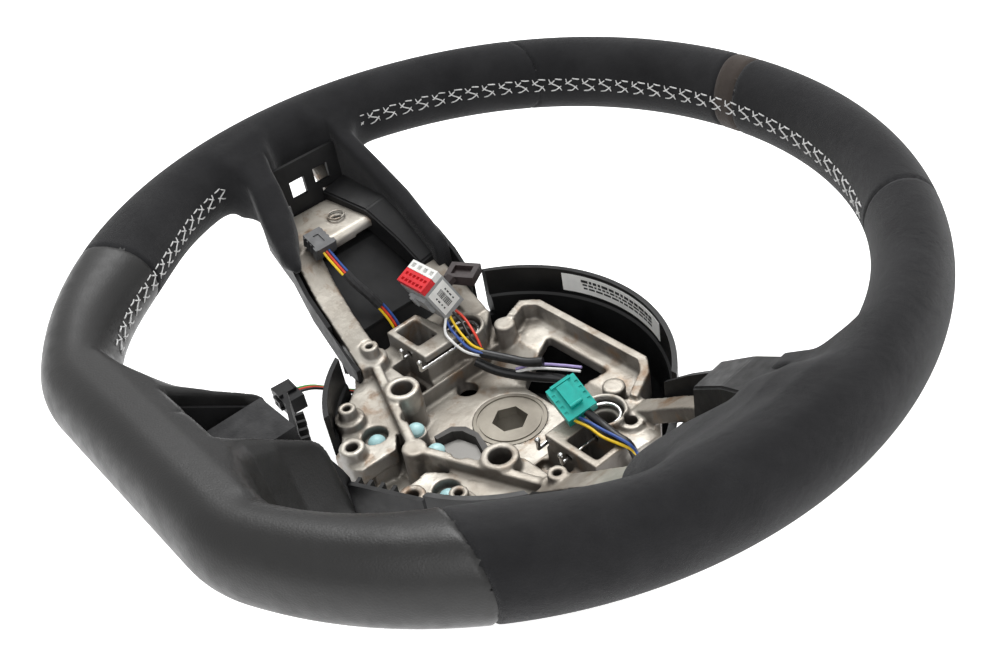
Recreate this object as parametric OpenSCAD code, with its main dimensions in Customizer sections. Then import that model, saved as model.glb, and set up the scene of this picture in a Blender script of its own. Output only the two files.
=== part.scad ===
// Road-car steering wheel with its airbag module and switches taken out. Millimetres.
// +Z runs along the column's axis towards the driver, +Y to twelve o'clock, +X to the driver's right.
// The origin is the centre of the hub insert's front face.

/* [Rim] */
// Radius of the rim's centre line
rim_r = 172.5; // [171:0.5:174]
// Height of the rim's plane above the hub insert
rim_z = 94; // [93:0.5:95]
// Half width of the rim's section, across the wheel
rim_a = 15; // [14.5:0.1:15.5]
// Half depth of the rim's section, along the column
rim_b = 19; // [18.5:0.1:19.5]
// Distance from the axis to the flat stretch's centre line
flat_y = 160; // [158:0.5:162]
// Radius of the corners beside the flat stretch
corner_r = 45; // [40:1:50]
// Thickness of the leather and suede
skin_t = 1.2; // [0.8:0.1:1.6]
// Radius of the cast core inside the rim
core_r = 6; // [5:0.5:7]

/* [Hub] */
// Radius of the hub insert
insert_r = 18; // [17:0.5:18.5]
// Distance across the flats of the hexagonal hole
hex_af = 15.5; // [14:0.5:16]
// Radius of the bore for the steering column
column_r = 9.2; // [9:0.1:9.5]
// Depth of the cast hub below the insert's face
hub_depth = 28; // [24:1:32]
// Radius of the airbag module's guide bores
guide_r = 5.2; // [5:0.1:5.4]

/* [Lock springs] */
// Diameter of the spring wire
wire_d = 2; // [1.8:0.1:2.2]
// Distance from the wheel's middle plane to a spring's middle
spring_x = 49.2; // [49:0.1:49.5]
// Radius of the bight, to the wire's centre
bight_r = 7.25; // [7.1:0.05:7.4]

/* [Rear cover] */
// Outer radius of the bowl
bowl_r = 82; // [82:0.5:84]
// Height of the bowl's edge
bowl_z = 33; // [32:0.5:34]
// Height of the ring that the wheel rests on
base_z = -40; // [-42:1:-38]
// Wall of the bowl
bowl_t = 2.5; // [2:0.1:3]

/* [Hidden] */
$fn = 48;

// ---- derived sizes -------------------------------------------------------------------------------
rim_cy = 1.5;                                   // the round stretch's centre sits just above the axis
flat_h = flat_y + rim_cy;                       // from that centre to the flat stretch
corner_x = sqrt(pow(rim_r - corner_r, 2) - pow(flat_h - corner_r, 2));
corner_a = atan2(-(flat_h - corner_r), corner_x);
foam_a = rim_a - skin_t;
foam_b = rim_b - skin_t;
seam_a = [-42, 45, 88, 92, 135, 222];           // where the covers meet, by angle
oval_n = 28;
spring_z = 19.5;
bore_y = 16.6;
tip_y = -17;
hook_top = 25.3;
grommet_z = 10.5;

// Side spokes: top of the cast rails, as distance from the middle plane and height
spoke_line = [[56, 19], [66, 25], [78, 34], [100, 49], [118, 62], [150, 64], [164, 84], [172, 94]];
// Side spokes: crest of the wrapped shoulders
crest_line = [[70, 43], [80, 50], [152, 100], [174, 108]];
// Lower spoke: top of the cast arm, as distance towards six o'clock and height
arm_line = [[48, -2], [92, 0], [108, 30], [130, 62], [150, 86], [161, 94]];
// Hub web: top face, as height along Y
web_line = [[-84, 0], [20, 0], [36, 9], [62, 12]];

// ---- shared shapes -------------------------------------------------------------------------------
module both() {
    children();
    mirror([1, 0, 0]) children();
}

module oval(a, b) polygon([for (i = [0:oval_n - 1]) [a * cos(360 * i / oval_n), b * sin(360 * i / oval_n)]]);

module oval_ring(a, b, t) difference() {
    oval(a, b);
    oval(a - t, b - t);
}

// A round stretch of the rim from angle a0 to a1
module rim_arc(a0, a1)
    translate([0, rim_cy, rim_z]) rotate([0, 0, a0])
        rotate_extrude(angle = a1 - a0, $fn = 180) translate([rim_r, 0]) children();

// The corner on one side of the flat stretch
module rim_corner(right)
    mirror([right ? 0 : 1, 0, 0]) translate([corner_x, corner_r - flat_y, rim_z]) rotate([0, 0, -90])
        rotate_extrude(angle = 90 + corner_a, $fn = 180) translate([corner_r, 0]) children();

module rim_flat()
    translate([corner_x, -flat_y, rim_z]) rotate([90, 0, -90]) linear_extrude(2 * corner_x) children();

module rim_loop() {
    rim_arc(corner_a, 180 - corner_a) children();
    rim_corner(true) children();
    rim_corner(false) children();
    rim_flat() children();
}

// A slab between y0 and y1 whose top and bottom follow a line of [x, z] points
module side_band(line, up, down, y0, y1)
    translate([0, y1, 0]) rotate([90, 0, 0]) linear_extrude(y1 - y0)
        polygon(concat([for (p = line) p + [0, up]],
                       [for (i = [len(line) - 1:-1:0]) line[i] - [0, down]]));

// The same for a line of [-y, z] points, between -x and +x
module lower_band(line, up, down, x)
    rotate([0, 0, -90]) side_band(line, up, down, -x, x);

module strip(points, z0, z1) translate([0, 0, z0]) linear_extrude(z1 - z0) polygon(points);

module post(x, y, z0, z1, r) translate([x, y, z0]) cylinder(h = z1 - z0, r = r);

// A straight rib of width w between two points
module rib(p, q, w, z0, z1) {
    d = q - p;
    translate([p[0], p[1], z0]) rotate([0, 0, atan2(d[1], d[0])]) translate([0, -w / 2, 0])
        cube([norm(d), w, z1 - z0]);
}

// ---- armature ------------------------------------------------------------------------------------
rail_low = [[62, -38], [83, -35.5], [97, -34], [113, -30.5], [135, -25], [172, -20],
            [172, -9], [120, -15], [100, -20], [83, -23], [62, -24]];
rail_high = [[50, 27], [90, 24], [128, 17], [172, 15], [172, 24], [130, 27], [92, 34], [68, 37], [50, 37]];
cross_plate = [[114, -17], [149, -12], [149, 24], [116, 22]];

module side_arm() {
    difference() {
        intersection() {
            union() {
                strip(rail_low, 0, 110);
                strip(rail_high, 0, 110);
            }
            side_band(spoke_line, 0, 9, -45, 45);
        }
        post(66.7, -28.1, 12, 40, 1.9);
    }
    difference() {
        intersection() {
            strip(cross_plate, 0, 110);
            side_band(spoke_line, 0, 4, -45, 45);
        }
        post(130, 6, 40, 80, 2.6);
    }
}

module lower_arm() intersection() {
    strip([[-19, -56], [19, -56], [17, -92], [11, -118], [11, -135], [20, -161], [-20, -161],
           [-11, -135], [-11, -118], [-17, -92]], -20, 110);
    lower_band(arm_line, 0, 7, 30);
}

module web() difference() {
    intersection() {
        strip([[-26, -58], [26, -58], [42, -30], [43, 8], [50, 24], [58, 37], [53, 34], [45, 51], [37, 58],
               [-37, 58], [-45, 51], [-41, 42], [-47, 36], [-58, 37], [-50, 24], [-43, 8], [-42, -30]], -12, 30);
        rotate([0, 0, 90]) side_band(web_line, 0, 6, -60, 60);
    }
    strip([[-21, 47], [-15, 33], [-12, 21], [-7, 20], [10, 20], [14, 23], [17, 33], [21, 47]], -20, 30);
    post(-33, 1, -20, 30, 5.3);
}

module frame_ribs() {
    strip([[-45, 51], [-37, 58], [37, 58], [45, 51], [53, 34], [48.5, 33], [41, 48.5], [35, 53.5],
           [-35, 53.5], [-40, 49], [-37, 41], [-41, 39]], 4, 20);
    both() post(38, 34, -4, 19, 5.5);
}

module shoulder() {
    // foot that ties the shoulder to the web
    strip([[38, -22], [38, 30], [50, 36], [60, 30], [62, 8], [62, -34], [52, -50], [40, -61],
           [14, -70], [12, -58], [22, -48], [34, -30]], -4, 9);
    // plate between the bosses
    strip([[30, -26], [42, -22], [42, -13], [74, -13], [75, -24], [74, -36], [62, -44], [54, -55], [50, -60],
           [43, -66], [31, -74], [30, -79], [16, -79], [12, -76], [11, -57], [20, -50], [28, -42]], 8, 16);
    // plate above the pocket, out to the upper rail
    strip([[42, 6], [74, 6], [76, 24], [64, 37], [53, 37], [43, 26]], 8, 18);
    // frame of the square pocket
    strip([[42, -13], [74, -13], [74, 6], [60, 8], [42, 8]], 6, 25);
    post(spring_x, bore_y, 3, 23, 11);
    post(35.3, -33.4, -4, 23.6, 8.6);
    post(66.7, -28.1, 8, 23, 7.6);
    post(66.7, -28.1, 20, 29.7, 4.4);
    post(41, -61.1, 2, 21, 7.2);
    post(41, -61.1, 18, 26.9, 4.4);
    post(22.5, -72.7, -2, 22.2, 6.2);
    post(60.8, 21.2, 3, 20, 6);
    post(18.5, -41, -3, grommet_z, 5.4);
    rib([66.7, -28.1], [0, -54], 4.6, 8, 22);
}

module shoulder_cuts() {
    strip([[52, -9.5], [70.5, -9.5], [70.5, 3], [52, 3]], -20, 40);
    strip([[39.5, -22.5], [60, -22.5], [60, -13], [39.5, -13]], 5, 40);
    strip([[44.5, -21], [55, -21], [55, -14.5], [44.5, -14.5]], -20, 40);
    post(spring_x, bore_y, 17.5, 40, 9);
    post(spring_x, bore_y, -20, 40, guide_r);
    post(35.3, -33.4, -20, 40, guide_r);
    for (s = [-1, 1]) {
        translate([spring_x + s * bight_r - 1.7, tip_y - 5.5, spring_z - 1.7]) cube([3.4, 39, 3.4]);
    }
    post(66.7, -28.1, 12, 40, 1.9);
    post(41, -61.1, 10, 40, 1.9);
    post(22.5, -72.7, 6, 40, 2.9);
    post(60.8, 21.2, -20, 40, 2.9);
    post(18.5, -41, grommet_z, 40, 5);
    post(26.5, -58, grommet_z, 40, 6.2);
}

module armature_body() difference() {
    union() {
        web();
        frame_ribs();
        both() shoulder();
        lower_arm();
        translate([0, -54, -6]) rotate([0, 0, 90]) cylinder(h = 28, r = 5.8);
        post(0, -43.5, -3, grommet_z, 4.4);
        post(0, 0, -hub_depth, -2, 19.5);
    }
    both() shoulder_cuts();
    post(0, 0, -hub_depth - 1, 30, 13);
    post(0, 0, -5, 30, insert_r);
    for (p = screw_at) post(p[0], p[1], p[2] - 1, p[2] + 14, screw_r + 0.05);
    post(0, -54, -12, -6, 5.4);
}

module armature() color("#c9c2b4") {
    armature_body();
    both() side_arm();
    rim_loop() circle(r = core_r, $fn = 12);
}

module hub_insert() color("#b9ab93") difference() {
    union() {
        post(0, 0, -5, 0, insert_r);
        post(0, 0, -hub_depth, -4, 13);
    }
    translate([0, 0, -6]) cylinder(h = 8, r = hex_af / 2 / cos(30), $fn = 6);
    post(0, 0, -hub_depth - 1, -5, column_r);
    difference() {
        post(0, 0, -0.6, 1, 16.4);
        post(0, 0, -0.7, 2, 15.2);
    }
}

// ---- rim -----------------------------------------------------------------------------------------
module arms() {
    both() side_arm();
    lower_arm();
}

module rim_fill() rim_loop() oval(foam_a, foam_b);

module rim_foam() color("#4a4a48") difference() {
    rim_fill();
    rim_loop() circle(r = core_r, $fn = 12);
    arms();
}

// Outer shape of a side carrier with its inside filled
carrier_plan = [[62, -41], [100, -37.5], [130, -31], [152, -26], [152, 31], [130, 36], [92, 42], [80, 42], [66, 40]];
module carrier_block(up) intersection() {
    strip(carrier_plan, 8, 120);
    side_band(spoke_line, up, 14, -50, 50);
}

// Wrapped shoulders beside a side spoke; x_in is where the upper one ends
low_crest = [[130, 88], [137, 95], [152, 103], [174, 108]];
module side_wrap(x_in) difference() {
    union() {
        intersection() {
            strip([[x_in, 36.5], [x_in, 46], [110, 48], [130, 50], [150, 54], [163, 60], [172, 44], [166, 27],
                   [152, 27], [130, 29], [110, 33]], 20, 120);
            side_band(crest_line, 0, 20, -20, 70);
        }
        intersection() {
            strip([[137, -24], [137, -41], [150, -45], [163, -51], [172, -36], [166, -20], [152, -20]], 40, 120);
            side_band(low_crest, 0, 34, -60, 0);
        }
        strip([[152, -21], [152, 28], [168, 28], [168, -21]], 92.5, 102);
    }
    carrier_block(9);
    strip([[140, -27], [152, -27], [152, 32], [140, 32]], 40, 92.3);
    side_arm();
    rim_fill();
}

module suede_ring(a0, a1) rim_arc(a0, a1) oval_ring(rim_a, rim_b, skin_t);

module cover_suede_right() color("#2b2b2d") {
    difference() {
        suede_ring(seam_a[0], seam_a[1]);
        side_arm();
    }
    side_wrap(104);
}

module cover_suede_left() color("#2b2b2d") {
    difference() {
        suede_ring(seam_a[4], seam_a[5]);
        mirror([1, 0, 0]) side_arm();
    }
    mirror([1, 0, 0]) side_wrap(82);
}

module cover_suede_top_right() color("#2b2b2d") suede_ring(seam_a[1], seam_a[2]);
module cover_suede_top_left() color("#2b2b2d") suede_ring(seam_a[3], seam_a[4]);
module marker_band() color("#6d655d") suede_ring(seam_a[2], seam_a[3]);

lower_crest = [[98, 69], [105, 80], [141, 105], [160, 110]];
join_gap = 0.02;    // degrees left open where the round stretch's skin meets the corners' skin
module cover_leather_lower() color("#1b1b1d") difference() {
    union() {
        suede_ring(seam_a[5], 180 - corner_a - join_gap);
        suede_ring(corner_a + join_gap, seam_a[0]);
        rim_corner(true) oval_ring(rim_a, rim_b, skin_t);
        rim_corner(false) oval_ring(rim_a, rim_b, skin_t);
        rim_flat() oval_ring(rim_a, rim_b, skin_t);
        difference() {
            union() {
                intersection() {
                    both() strip([[20, -100.5], [25, -101.5], [22.5, -113], [27, -125], [40, -133], [55, -147],
                                  [55, -158], [20, -158]], 20, 120);
                    lower_band(lower_crest, 0, 38, 60);
                }
                strip([[-20, -140], [20, -140], [20, -152], [-20, -152]], 97, 103.5);
            }
            rim_fill();
        }
    }
    lower_arm();
}

module seam_arc(a0, a1) rim_arc(a0, a1) difference() {
    intersection() {
        oval(rim_a + 0.4, rim_b + 0.4);
        translate([-20, -2.6]) square([15, 5.2]);
    }
    oval(rim_a, rim_b);
}

module seam_thread() color("#c4c4c0") {
    seam_arc(50, 160);
    seam_arc(199, 243);
    seam_arc(-63, -20);
}

// ---- rear cover ----------------------------------------------------------------------------------
bowl_y = -2;
screw_r = 1.9;
screw_at = [[38, 34, -4], [-38, 34, -4], [0, -54, -6]];   // x, y and the height of each seat
wall_low = [bowl_r - 3, -6];
module bowl_shell() translate([0, bowl_y, 0]) rotate_extrude($fn = 120)
    polygon([[34, base_z], [62, base_z], wall_low, [bowl_r, 10], [bowl_r, bowl_z], [bowl_r - bowl_t, bowl_z],
             [bowl_r - bowl_t, 18], [bowl_r - bowl_t - 1.2, 17], wall_low - [bowl_t, -1],
             [60.5, base_z + bowl_t], [36.5, base_z + bowl_t], [36.5, -14], [34, -14]]);

module rear_cover() color("#262628") difference() {
    union() {
        difference() {
            bowl_shell();
            translate([-100, -46, 6]) cube([200, 92, 40]);
            translate([-36.5, -100, -12]) cube([73, 45, 60]);
            both() post(41, -61.1, -2, 40, 7.7);
        }
        for (p = screw_at) post(p[0], p[1], base_z + 0.5, p[2], 5);
    }
    for (p = screw_at) {
        post(p[0], p[1], base_z - 1, p[2] + 1, screw_r + 0.3);
        post(p[0], p[1], base_z - 1, base_z + 8, 3.9);
    }
}

// Curved label on the inside of the bowl
module rear_cover_label() color("#e8e8e6") translate([0, bowl_y, 20.5]) rotate([0, 0, 64])
    rotate_extrude(angle = 50, $fn = 120) translate([bowl_r - bowl_t - 0.25, 0]) square([0.25, 10.5]);

module rear_cover_screws() color("#8a8a8a") for (p = screw_at) {
    post(p[0], p[1], base_z + 9, p[2] + 12, screw_r);
    difference() {
        post(p[0], p[1], base_z + 5, base_z + 8, 3.7);
        translate([p[0], p[1], base_z + 4]) cylinder(h = 3, r = 1.6, $fn = 6);
    }
    post(p[0], p[1], base_z + 8, base_z + 9, screw_r);
}

// ---- airbag lock springs -------------------------------------------------------------------------
module lock_spring() {
    wr = wire_d / 2;
    translate([spring_x, bore_y, spring_z]) rotate_extrude(angle = 180, $fn = 64)
        translate([bight_r, 0]) circle(r = wr, $fn = 24);
    for (s = [-1, 1]) translate([spring_x + s * bight_r, 0, 0]) {
        translate([0, bore_y, spring_z]) rotate([90, 0, 0]) cylinder(h = bore_y - tip_y, r = wr, $fn = 24);
        translate([0, tip_y, spring_z]) sphere(r = wr, $fn = 24);
        post(0, tip_y, spring_z, hook_top - 1, wr);
        translate([0, tip_y, hook_top - 1]) sphere(r = wr + 0.4, $fn = 24);
    }
}
module lock_spring_right() color("#d5d5d5") lock_spring();
module lock_spring_left() color("#d5d5d5") mirror([1, 0, 0]) lock_spring();

// ---- spoke carriers ------------------------------------------------------------------------------
carrier_in = [[58, -38.8], [100, -35.3], [130, -28.8], [149.8, -24.5], [149.8, 28.8], [130, 33.8],
              [92, 39.8], [80, 39.8], [58, 37.3]];
module side_carrier() difference() {
    union() {
        // tray between and outside the rails
        difference() {
            intersection() {
                strip(carrier_plan, 8, 92);
                union() {
                    side_band(spoke_line, 8, 14, 0, 50);
                    side_band(spoke_line, 1, 14, -50, 0);
                }
            }
            intersection() {
                strip(carrier_in, 0, 120);
                side_band([[40, 12], [56, 19], [66, 25], [78, 34], [100, 49], [118, 62], [150, 64]], 30, 12, -50, 50);
            }
        }
        // end wall below the rim
        strip([[149.8, -24], [152, -26], [152, 31], [149.8, 29]], 50, 92);
    }
    // the floor stops short of the hub, which leaves a way for the leads
    translate([50, -38.8, 0]) cube([34, 77, 60]);
    translate([50, -42, 0]) cube([21.5, 4, 16.5]);
    // the rails pass through the end wall
    translate([148, -25, 40]) cube([6, 17, 30]);
    translate([148, 13, 40]) cube([6, 14.5, 30]);
    // see-through windows
    translate([148, -5, 72]) cube([6, 9, 10]);
    translate([148, 10, 74]) cube([6, 9, 9]);
}
module spoke_carrier_left() color("#202022") mirror([1, 0, 0]) side_carrier();
module spoke_carrier_right() color("#202022") side_carrier();

module spoke_carrier_lower() color("#1d1d1f") {
    intersection() {
        difference() {
            strip([[-19.8, -96], [19.8, -96], [19.8, -139.8], [-19.8, -139.8]], -20, 110);
            strip([[-17.8, -90], [17.8, -90], [17.8, -137.8], [-17.8, -137.8]], -20, 110);
        }
        lower_band([[90, 30], [98, 55], [105, 72], [141, 97]], 0, 40, 30);
        // the end wall stays below the arm
        difference() {
            strip([[-20, -90], [20, -90], [20, -141], [-20, -141]], -20, 110);
            translate([-12.5, -141, 57]) cube([25, 4, 18.5]);
        }
    }
    both() rib([19.8, -97.4], [51, -83], 2, 27, 47);
    both() for (i = [0:3]) translate([20 + i * 5, -95.4 + i * 2.3, 38]) rotate([0, 0, 24.8])
        cube([1.6, 4, 7]);
}

module spoke_pad_lower() color("#3a3a3a") intersection() {
    strip([[-13, -108], [13, -108], [13, -136.5], [-13, -136.5]], 0, 82);
    lower_band(arm_line, 60, -1, 30);
}

// ---- grommets and damper -------------------------------------------------------------------------
module dome(x, y) translate([x, y, grommet_z]) {
    cylinder(h = 1.6, r = 4.2);
    translate([0, 0, 1.6]) intersection() {
        translate([0, 0, -2.2]) sphere(r = 4.75);
        cylinder(h = 6, r = 4.2);
    }
}
module hub_grommets() color("#a9d3d3") {
    both() dome(18.5, -41);
    both() dome(26.5, -58);
    dome(0, -43.5);
}

module damper_plate() color("#8f8c86") strip([[-9, -36], [-6, -27], [4, -24], [14, -28], [12.5, -33], [6, -37]], 0.2, 3);

module damper_strap() color("#4c4a48") strip([[-12.6, -35.6], [-11.5, -26], [-6, -21.5], [2, -20.5], [14, -24],
    [13, -27], [3, -23.2], [-5, -24.5], [-8.6, -28], [-10, -36]], 0.2, 7);

// ---- airbag plug ---------------------------------------------------------------------------------
// A plug's own frame has its corner at the origin; turn() gives the same turn as rotate([a, b, c])
function turn(v, r) =
    let (x1 = v[0], y1 = v[1] * cos(r[0]) - v[2] * sin(r[0]), z1 = v[1] * sin(r[0]) + v[2] * cos(r[0]))
    let (x2 = x1 * cos(r[1]) + z1 * sin(r[1]), z2 = -x1 * sin(r[1]) + z1 * cos(r[1]))
    [x2 * cos(r[2]) - y1 * sin(r[2]), x2 * sin(r[2]) + y1 * cos(r[2]), z2];

air_at = [-54.4, 0.6, 50];
air_turn = [24, -5, -2];
air = [21.4, 13.6, 23.4];
module air_frame() translate(air_at) rotate(air_turn) children();
function air_pt(x, y) = air_at + turn([x, y, -air[2] + 1], air_turn);

module airbag_plug_body() color("#9a9c9d") air_frame() difference() {
    union() {
        translate([-air[0], 0, -air[2]]) cube(air - [0, 0, 3]);
        translate([-17, -1.8, -17]) cube([13, 1.8, 9]);
        translate([-15, -3, -14]) cube([3, 1.2, 6]);
    }
    translate([-18.1, 1.9, -8.2]) cube([15.2, 4.7, 10]);
}

module airbag_plug_lock() color("#d8232b") air_frame() difference() {
    union() {
        translate([-air[0] + 0.2, 0.2, -2.9]) cube([air[0] - 0.4, 8.1, 3.6]);
        translate([-18.04, 1.96, -8]) cube([15.08, 4.58, 5.2]);
    }
    for (i = [0:5], j = [0, 1]) translate([-19.3 + i * 3.1, 1.5 + j * 3.4, -0.4]) cube([2.2, 1.6, 2]);
}

module airbag_plug_cap() color("#ececea") air_frame() difference() {
    translate([-air[0] + 0.2, 8.5, -3]) cube([air[0] - 0.4, air[1] - 8.7, 3.6]);
    for (i = [0:3]) translate([-19.6 + i * 5, 9.8, -1.2]) cube([2.8, 2.4, 3]);
}

module airbag_plug_label() color("#f4f4f2") air_frame() translate([0, 1.2, -20.6]) cube([0.25, 11.2, 16]);

module harness_clip() color("#4b4344") {
    difference() {
        union() {
            translate([-62, 31.5, 38]) rotate([0, 0, 30]) translate([-7.8, -6.3, 0]) cube([15.6, 12.6, 5]);
            air_frame() translate([-10, 13.6, -16]) cube([5, 5, 3]);
        }
        translate([-62, 31.5, 38]) rotate([0, 0, 30]) translate([-5, -3.5, 2.5]) cube([10, 7, 5]);
    }
}

// ---- teal plug -----------------------------------------------------------------------------------
teal_at = [50.9, -5.5, 32.2];
teal_turn = [15, 22, -9];
module teal_frame() translate(teal_at) rotate(teal_turn) children();
function teal_pt(y) = teal_at + turn([-1, y, -3.2], teal_turn);

module teal_plug_body() color("#1fb5a0") teal_frame() difference() {
    union() {
        translate([-17.6, 0, -6.5]) cube([17.6, 14.8, 6.5]);
        translate([-17.6, 2.4, 0]) cube([1.4, 10, 1.2]);
    }
    for (i = [0:3]) translate([-14 + i * 3.2, 0.8, -0.5]) cube([1.6, 1.4, 2]);
    for (i = [0:3]) translate([-14 + i * 3.2, 12.8, -0.5]) cube([1.6, 1.4, 2]);
    for (i = [0:4]) translate([-18, 1.6 + i * 2.5, -5]) cube([5, 1.8, 3.4]);
}

// Latch lever, hinged on the plug's top near the wire end
module teal_plug_latch() color("#22c2ab") teal_frame() {
    translate([-15.4, 4.4, 0.9]) cube([11, 6, 1.2]);
    translate([-4.6, 4.4, 1.5]) rotate([-90, 0, 0]) cylinder(h = 6, r = 0.9, $fn = 24);
}

// ---- switch plug ---------------------------------------------------------------------------------
switch_at = [-113.05, -15.97, 65.24];
switch_turn = [0, 19, 0];
module switch_plug_body() color("#4a4b4e") translate(switch_at) rotate(switch_turn) difference() {
    union() {
        translate([-6.5, -5, -3.5]) cube([13, 10, 7]);
        for (i = [0:3]) translate([-5.6 + i * 2.8, -5.6, -3]) cube([1.2, 11.2, 6]);
        translate([3.6, -6.3, -3.5]) cube([2.6, 12.6, 7]);
    }
    for (j = [-1:1]) translate([-7, j * 3 - 1, -1.2]) cube([5, 2, 2.4]);
    translate([-3, -1.6, 3]) cube([6, 3.2, 2]);
}

// ---- heater plug ---------------------------------------------------------------------------------
heater_at = [-73, -73.5, 24];
heater_turn = [0, 0, -5];
module heater_frame() translate(heater_at) rotate(heater_turn) children();
module heater_plug_body() color("#1c1c1e") heater_frame() difference() {
    union() {
        translate([-8, -5, -4]) cube([16, 10, 8]);
        translate([-3.5, -6.5, -2.5]) cube([7, 1.5, 5]);
    }
    for (i = [-1:1]) translate([i * 4 - 1.2, -7, -1.2]) cube([2.4, 4, 2.4]);
}
module heater_plug_latch() color("#232326") heater_frame() {
    translate([-2.6, -5.4, 4.5]) cube([5.2, 8.6, 1.2]);
    translate([-2.6, 3.4, 5]) rotate([0, 90, 0]) cylinder(h = 5.2, r = 0.9, $fn = 24);
}

// ---- leads ---------------------------------------------------------------------------------------
wire_r = 0.7;
small_r = 0.65;
tube_n = 8;
function unit(v) = v / norm(v);
function along(p, i) = unit(p[min(i + 1, len(p) - 1)] - p[max(i - 1, 0)]);
function across(p, i, ref) = unit(cross(along(p, i), ref));

// Round tube along points p; ref is a direction that no stretch of it follows
module tube(p, r, ref = [0, 0, 1]) {
    m = len(p);
    rings = [for (i = [0:m - 1], k = [0:tube_n - 1])
        let (t = along(p, i), u = across(p, i, ref), v = cross(t, u), a = 360 * k / tube_n)
        p[i] + r * (u * cos(a) + v * sin(a))];
    sides = [for (i = [0:m - 2], k = [0:tube_n - 1]) let (k2 = (k + 1) % tube_n)
        [i * tube_n + k, (i + 1) * tube_n + k, (i + 1) * tube_n + k2, i * tube_n + k2]];
    polyhedron(rings, concat([[for (k = [0:tube_n - 1]) k]], sides,
        [[for (k = [tube_n - 1:-1:0]) (m - 1) * tube_n + k]]), convexity = 4);
}

function moved(p, d) = [for (q = p) q + d];

black_path = [air_pt(-1.5, 5.2), [-47.5, 15, 27.6], [-39, 12.2, 24.9], [-33.8, 12.4, 20.8], [-30.8, 13.5, 17.5]];
yellow_path = [air_pt(-3.4, 4.2), [-49.5, 11.8, 27.4], [-41.5, 9.6, 25.7], [-34.5, 9.9, 21.8], [-30.3, 12.7, 18.9]];
blue_path = [air_pt(-4, 2), [-49.5, 8.8, 27.3], [-42, 6.6, 26.7], [-35, 7.6, 21.6], [-29.3, 11.3, 18.4]];
white_path = [air_pt(-1.3, 1.4), [-47.5, 4.6, 27.4], [-41, 2.6, 26.4], [-34, 5, 21], [-29.3, 11.3, 16.6]];
red_path = [air_pt(-3, 7), [-48.5, 17.8, 27.2], [-39, 15.3, 24.8], [-34.2, 14.2, 20.8], [-30.2, 12.7, 16.1]];
upper_path = [[-31, 11.6, 17.5], [-19.2, 19.6, 14.5], [-11, 23.5, 14], [-4, 28.2, 15]];
lower_path = [[-33.5, 9.6, 12], [-24, 14.2, 8], [-14, 20.5, 6], [-5, 26.5, 5.5], [3, 32.5, 4.5],
              [10, 37, 0], [13, 37.5, -8], [14, 36.5, -16]];
tail_path = [[-17, 18.2, 7.6], [-8, 25.8, 10], [3, 33, 10.5], [12, 37.4, 11]];
tail2_path = [[-16.8, 20.7, 8.5], [-9, 27.9, 10.8], [2, 34.9, 11.3], [11, 39.3, 11.8]];
teal_yellow_path = [teal_pt(2.4), [57, 0.3, 28.3], [65, 0.6, 27.2], [77, 3.4, 26.4]];
teal_blue_path = [teal_pt(5), [57, 2, 29.4], [63, 2.3, 29.2], [75.5, 3.8, 28.4]];
teal_sheath_path = [teal_pt(9.2), [60, 5.4, 28.2], [69, 4.6, 27.5], [76, 5, 26.2], [79.3, 5.5, 18], [79, 6, 8.6]];
switch_path = [[-107.8, -16.3, 63.4], [-101, -14.6, 55], [-93.5, -12.6, 47], [-88, -9, 39], [-84, -5, 29],
               [-79.5, -3.5, 20], [-79, -3, 8]];
sleeve_path = [[-98, -13.8, 52], [-93.5, -12.6, 47], [-88, -9, 39], [-85.5, -6.5, 32.8]];
heater_path = [[-75.2, -69.4, 24], [-74.5, -60, 20.5], [-72.8, -50.5, 13.5], [-71.2, -44.2, 8.9], [-67.5, -39.3, 6.95]];

module airbag_wire_black() color("#161616") tube(black_path, wire_r);
module airbag_wire_yellow() color("#e0b400") tube(yellow_path, wire_r);
module airbag_wire_blue() color("#2a4fa8") tube(blue_path, wire_r);
module airbag_wire_white() color("#ededed") tube(white_path, wire_r);
module airbag_wire_red() color("#d62f22") tube(red_path, wire_r);
module airbag_sheath_upper() color("#141414") tube(upper_path, 2.3);
module airbag_sheath_lower() color("#141414") tube(lower_path, 2.5, [1, -1, 0]);
module airbag_tail_white() color("#ededed") tube(tail_path, wire_r);
module airbag_tail_lilac() color("#a99bd0") tube(tail2_path, wire_r);
module teal_wire_yellow() color("#f2d60f") tube(teal_yellow_path, wire_r);
module teal_wire_blue() color("#2a4fa8") tube(teal_blue_path, wire_r);
module teal_sheath() color("#141414") tube(teal_sheath_path, 1.9, [0, 1, 0]);
module switch_wire_yellow() color("#f2d60f") tube(moved(switch_path, [0, -1.6, 0]), small_r, [0, 1, 0]);
module switch_wire_red() color("#d62f22") tube(switch_path, small_r, [0, 1, 0]);
module switch_wire_blue() color("#2a4fa8") tube(moved(switch_path, [0, 1.6, 0]), small_r, [0, 1, 0]);
module switch_sleeve() color("#141414") tube(sleeve_path, 2.5, [0, 1, 0]);
module heater_wire_red() color("#d62f22") tube(heater_path, small_r, [1, 0, 0]);
module heater_wire_black() color("#161616") tube(moved(heater_path, [1.6, 0, 0]), small_r, [1, 0, 0]);
module heater_wire_green() color("#3aa04a") tube(moved(heater_path, [-1.6, 0, 0]), small_r, [1, 0, 0]);

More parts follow.
